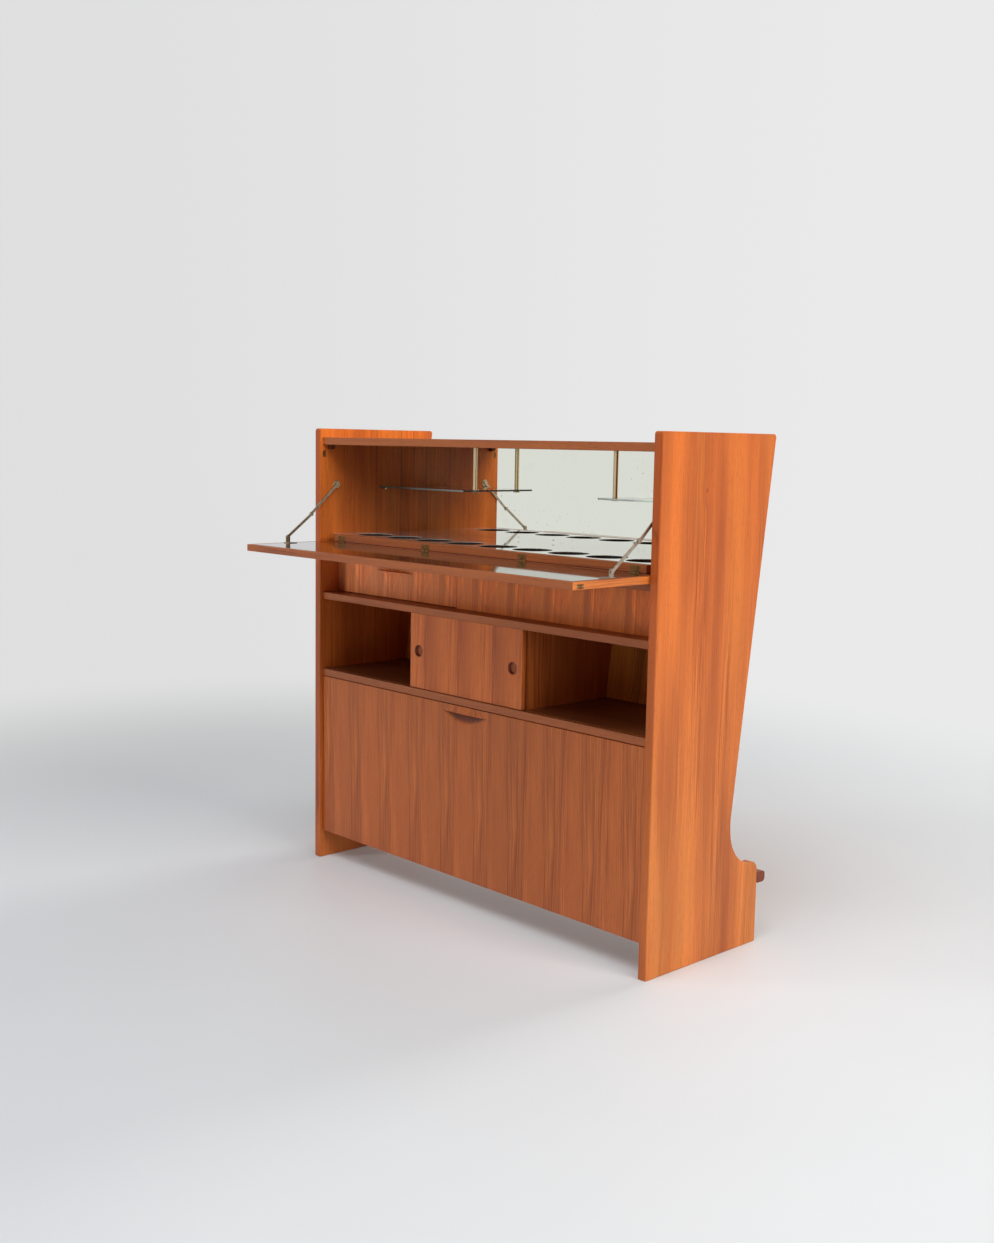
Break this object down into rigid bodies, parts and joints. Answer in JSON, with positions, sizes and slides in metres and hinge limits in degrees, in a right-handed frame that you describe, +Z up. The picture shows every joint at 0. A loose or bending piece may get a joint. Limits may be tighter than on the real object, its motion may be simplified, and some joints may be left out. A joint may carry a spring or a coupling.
{
  "type": "bar cabinet with fold out shelf",
  "caption": "Teak bar cabinet with fold-out serving flap on folding stays, bottle tray, mirror, glass shelves, sliding door, drawer, drop-down door and foot rail.",
  "frame": {"origin": "bottom centre of the bounding box with the serving flap folded out, on the floor", "axes": "+Z up, +Y towards the guests (foot rail side), -Y towards the bartender (flap, doors, drawer), X along the bar"},
  "size_m": [1.13, 0.607, 1.1],
  "materials": {
    "teak_side": "oiled teak veneer, straight grain",
    "teak_board": "oiled teak veneer with solid front lipping",
    "teak_back": "teak-faced plywood",
    "teak_front": "oiled teak veneer, leaves slip-matched",
    "teak_flap": "oiled teak with solid lipping",
    "teak_solid": "oiled solid teak",
    "drawer_wood": "clear-lacquered beech",
    "tray_board": "plywood core",
    "pale_laminate": "pale glossy laminate",
    "black_laminate": "black high-gloss laminate",
    "mirror": "aged silvering",
    "glass": "clear, ground edges",
    "brass": "aged brass",
    "stay_metal": "dulled brassed steel"
  },
  "bodies": {
    "cabinet": {"side_left": "teak_side", "side_right": "teak_side", "top_panel": "teak_board", "back_panel": "teak_back", "shelf_upper": "teak_board", "shelf_lower": "teak_board", "bottom_panel": "teak_board", "divider_left": "teak_board", "divider_right": "teak_board", "bottle_shelf": "teak_board", "fascia_fixed": "teak_front", "drawer_partition": "drawer_wood", "tray_rail": "teak_solid", "tray_core": "tray_board", "tray_laminate": "pale_laminate", "tray_cleat_left": "teak_solid", "tray_cleat_right": "teak_solid", "mirror_board": "teak_board", "mirror": "mirror", "glass_shelf_left": "glass", "glass_shelf_right": "glass", "shelf_rods": "brass", "shelf_pegs": "brass", "flap_hinge_fixed": "brass", "flap_hinge_pins": "brass", "flap_catches": "brass", "flap_stops": "teak_solid", "stay_wall_plates": "stay_metal", "door_hinge_fixed": "brass", "door_hinge_pins": "brass", "foot_rail": "teak_solid", "foot_rail_dowels": "drawer_wood"},
    "flap": {"flap_panel": "teak_flap", "flap_laminate": "black_laminate", "flap_hinge_moving": "brass", "flap_strikes": "brass", "stay_brackets": "stay_metal"},
    "stay_lower_left": {"stay_lower_left": "stay_metal"},
    "stay_lower_right": {"stay_lower_right": "stay_metal"},
    "stay_upper_left": {"stay_upper_left": "stay_metal"},
    "stay_upper_right": {"stay_upper_right": "stay_metal"},
    "drawer": {"drawer_front": "teak_front", "drawer_grip": "teak_solid", "drawer_side_left": "drawer_wood", "drawer_side_right": "drawer_wood", "drawer_back": "drawer_wood", "drawer_bottom": "drawer_wood"},
    "sliding_door": {"sliding_door": "teak_front", "finger_cups": "teak_solid"},
    "lower_door": {"lower_door": "teak_front", "door_grip": "teak_solid", "door_hinge_moving": "brass"}
  },
  "joints": [
    {"name": "flap_fold", "type": "hinge", "parent": "cabinet", "child": "flap", "pos_m": [0, -0.065, 0.8195], "axis": [-1, 0, 0], "range_deg": [0, 90]},
    {"name": "stay_swing_left", "type": "hinge", "parent": "flap", "child": "stay_lower_left", "pos_m": [0, -0.1905, 0.833], "axis": [1, 0, 0], "range_deg": [-34.4, 0]},
    {"name": "stay_elbow_left", "type": "hinge", "parent": "stay_lower_left", "child": "stay_upper_left", "pos_m": [0, -0.11741, 0.88834], "axis": [1, 0, 0], "range_deg": [0, 167.1]},
    {"name": "stay_swing_right", "type": "hinge", "parent": "flap", "child": "stay_lower_right", "pos_m": [0, -0.1905, 0.833], "axis": [1, 0, 0], "range_deg": [-34.4, 0]},
    {"name": "stay_elbow_right", "type": "hinge", "parent": "stay_lower_right", "child": "stay_upper_right", "pos_m": [0, -0.11741, 0.88834], "axis": [1, 0, 0], "range_deg": [0, 167.1]},
    {"name": "door_slide", "type": "slide", "parent": "cabinet", "child": "sliding_door", "axis": [1, 0, 0], "range_m": [-0.343, 0.365]},
    {"name": "drawer_slide", "type": "slide", "parent": "cabinet", "child": "drawer", "axis": [0, -1, 0], "range_m": [0, 0.2]},
    {"name": "lower_door_drop", "type": "hinge", "parent": "cabinet", "child": "lower_door", "pos_m": [0, -0.0602, 0.0715], "axis": [1, 0, 0], "range_deg": [0, 90]}
  ],
  "couplings": [
    {"joint": "stay_swing_left", "follows": "flap_fold", "ratio": -0.38183},
    {"joint": "stay_elbow_left", "follows": "flap_fold", "ratio": 1.8556},
    {"joint": "stay_swing_right", "follows": "flap_fold", "ratio": -0.38183},
    {"joint": "stay_elbow_right", "follows": "flap_fold", "ratio": 1.8556}
  ]
}
